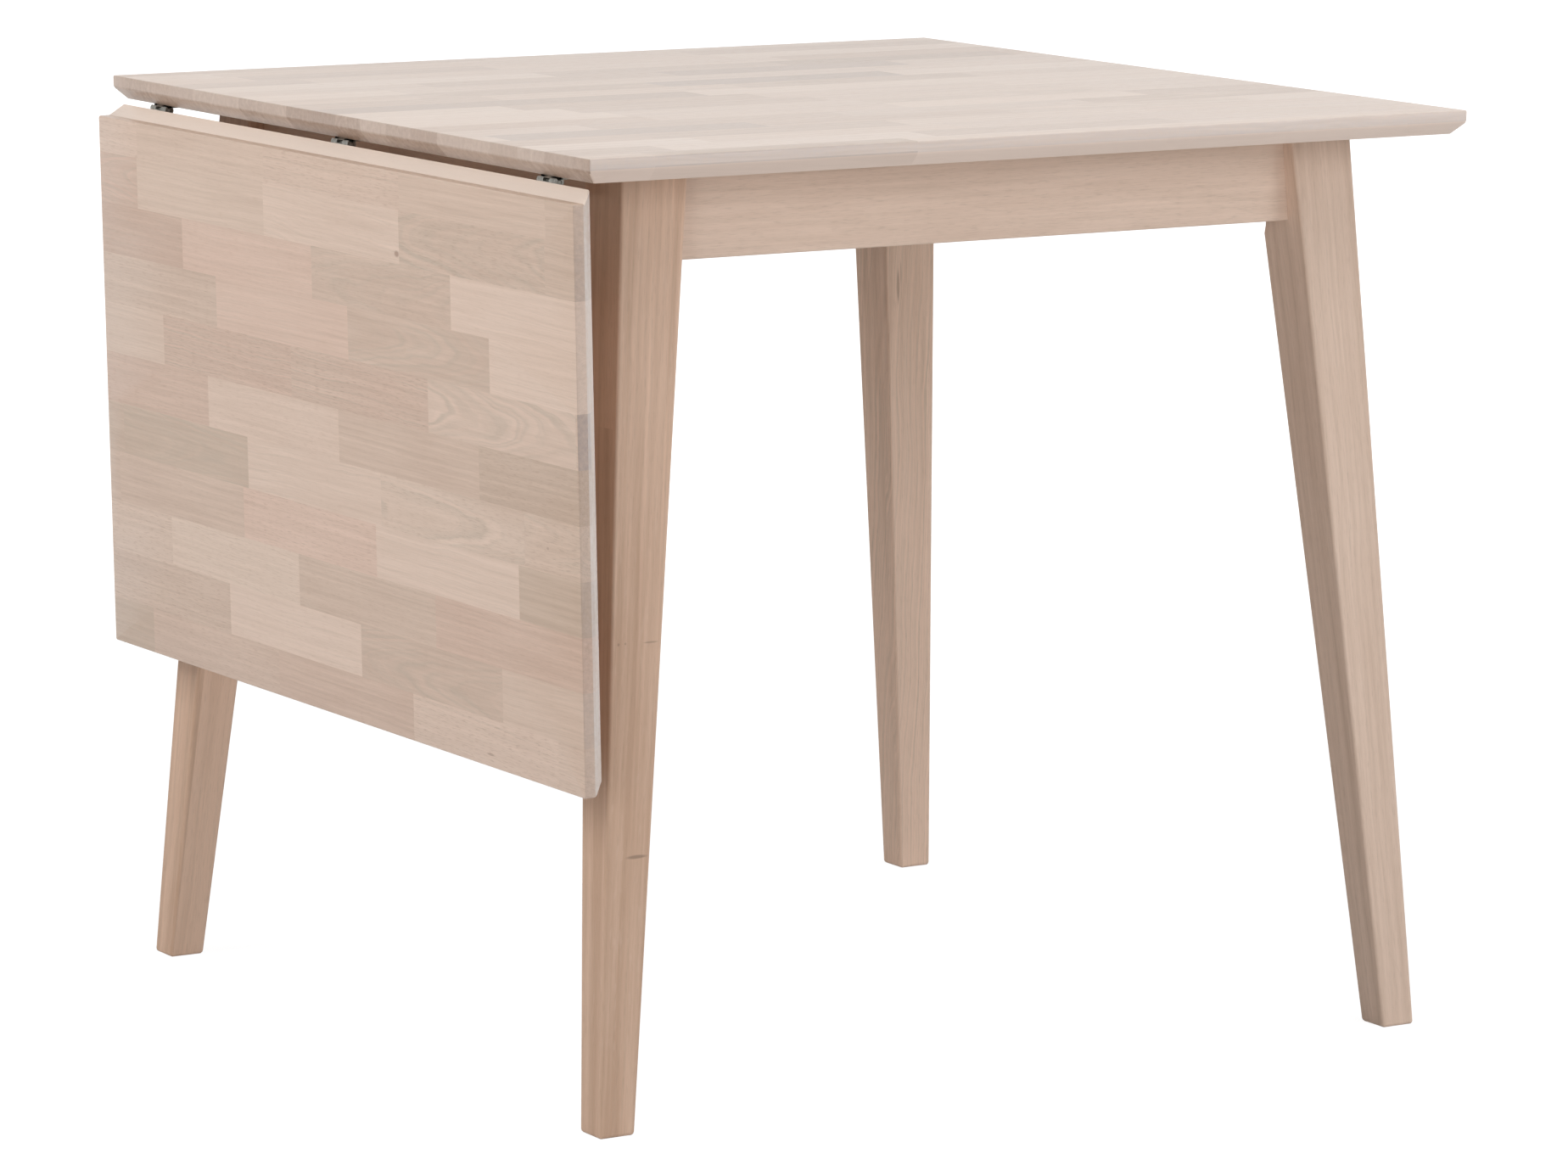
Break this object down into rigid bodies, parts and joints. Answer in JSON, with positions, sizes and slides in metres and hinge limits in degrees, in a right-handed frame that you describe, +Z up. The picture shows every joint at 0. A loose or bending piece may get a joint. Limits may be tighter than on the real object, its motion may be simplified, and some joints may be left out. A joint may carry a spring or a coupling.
{
  "type": "drop-leaf dining table",
  "caption": "Square dining table in pale oak on splayed tapered legs, with a leaf hinged along one edge that hangs beside the frame and folds up level with the top.",
  "frame": {"origin": "on the floor, at the middle of the whole outline with the leaf hanging", "axes": "+X away from the leaf, across the hinge line; +Y along the hinge line, to the back; +Z up"},
  "size_m": [0.8136, 0.8, 0.743],
  "materials": {
    "oak_top": "white-pigmented matt lacquer",
    "oak_leaf": "white-pigmented matt lacquer",
    "oak_leg": "white-pigmented matt lacquer",
    "oak_apron": "white-pigmented matt lacquer",
    "oak_block": "bare sawn wood",
    "zinc_steel": "bright zinc plating",
    "stay_steel": "zinc-plated pressed steel"
  },
  "bodies": {
    "table": {"top_panel": "oak_top", "leg_front_left": "oak_leg", "leg_front_right": "oak_leg", "leg_back_left": "oak_leg", "leg_back_right": "oak_leg", "corner_block_front_left": "oak_block", "corner_block_front_right": "oak_block", "corner_block_back_left": "oak_block", "corner_block_back_right": "oak_block", "apron_front": "oak_apron", "apron_back": "oak_apron", "apron_left": "oak_apron", "apron_right": "oak_apron", "leg_bolts": "zinc_steel", "leg_washers": "zinc_steel", "leg_nuts": "zinc_steel", "top_brackets": "zinc_steel", "top_bracket_screws": "zinc_steel", "hinge_front_top_wing": "zinc_steel", "hinge_front_pin": "zinc_steel", "hinge_middle_top_wing": "zinc_steel", "hinge_middle_pin": "zinc_steel", "hinge_back_top_wing": "zinc_steel", "hinge_back_pin": "zinc_steel", "hinge_top_screws": "zinc_steel", "stay_front_apron_bracket": "stay_steel", "stay_front_apron_rivet": "stay_steel", "stay_back_apron_bracket": "stay_steel", "stay_back_apron_rivet": "stay_steel", "stay_apron_screws": "zinc_steel"},
    "leaf": {"leaf_panel": "oak_leaf", "hinge_front_leaf_wing": "zinc_steel", "hinge_middle_leaf_wing": "zinc_steel", "hinge_back_leaf_wing": "zinc_steel", "hinge_leaf_screws": "zinc_steel", "stay_leaf_screws": "zinc_steel", "stay_front_leaf_bracket": "stay_steel", "stay_front_leaf_rivet": "stay_steel", "stay_back_leaf_bracket": "stay_steel", "stay_back_leaf_rivet": "stay_steel"},
    "front_arm": {"stay_front_arm": "stay_steel", "stay_front_knee_rivet": "stay_steel"},
    "front_link": {"stay_front_link": "stay_steel"},
    "back_arm": {"stay_back_arm": "stay_steel", "stay_back_knee_rivet": "stay_steel"},
    "back_link": {"stay_back_link": "stay_steel"}
  },
  "joints": [
    {"name": "leaf_fold", "type": "hinge", "parent": "table", "child": "leaf", "pos_m": [-0.38421, 0, 0.7202], "axis": [0, 1, 0], "range_deg": [0, 91.3]},
    {"name": "front_arm_swing", "type": "hinge", "parent": "table", "child": "front_arm", "pos_m": [-0.33021, 0, 0.6772], "axis": [0, 1, 0], "range_deg": [0, 91.3]},
    {"name": "front_link_swing", "type": "hinge", "parent": "leaf", "child": "front_link", "pos_m": [-0.37511, 0, 0.57037], "axis": [0, -1, 0], "range_deg": [0, 91.3]},
    {"name": "back_arm_swing", "type": "hinge", "parent": "table", "child": "back_arm", "pos_m": [-0.33021, 0, 0.6772], "axis": [0, 1, 0], "range_deg": [0, 91.3]},
    {"name": "back_link_swing", "type": "hinge", "parent": "leaf", "child": "back_link", "pos_m": [-0.37511, 0, 0.57037], "axis": [0, -1, 0], "range_deg": [0, 91.3]}
  ],
  "couplings": [
    {"joint": "front_arm_swing", "follows": "leaf_fold", "ratio": 1},
    {"joint": "front_link_swing", "follows": "leaf_fold", "ratio": 1},
    {"joint": "back_arm_swing", "follows": "leaf_fold", "ratio": 1},
    {"joint": "back_link_swing", "follows": "leaf_fold", "ratio": 1}
  ]
}
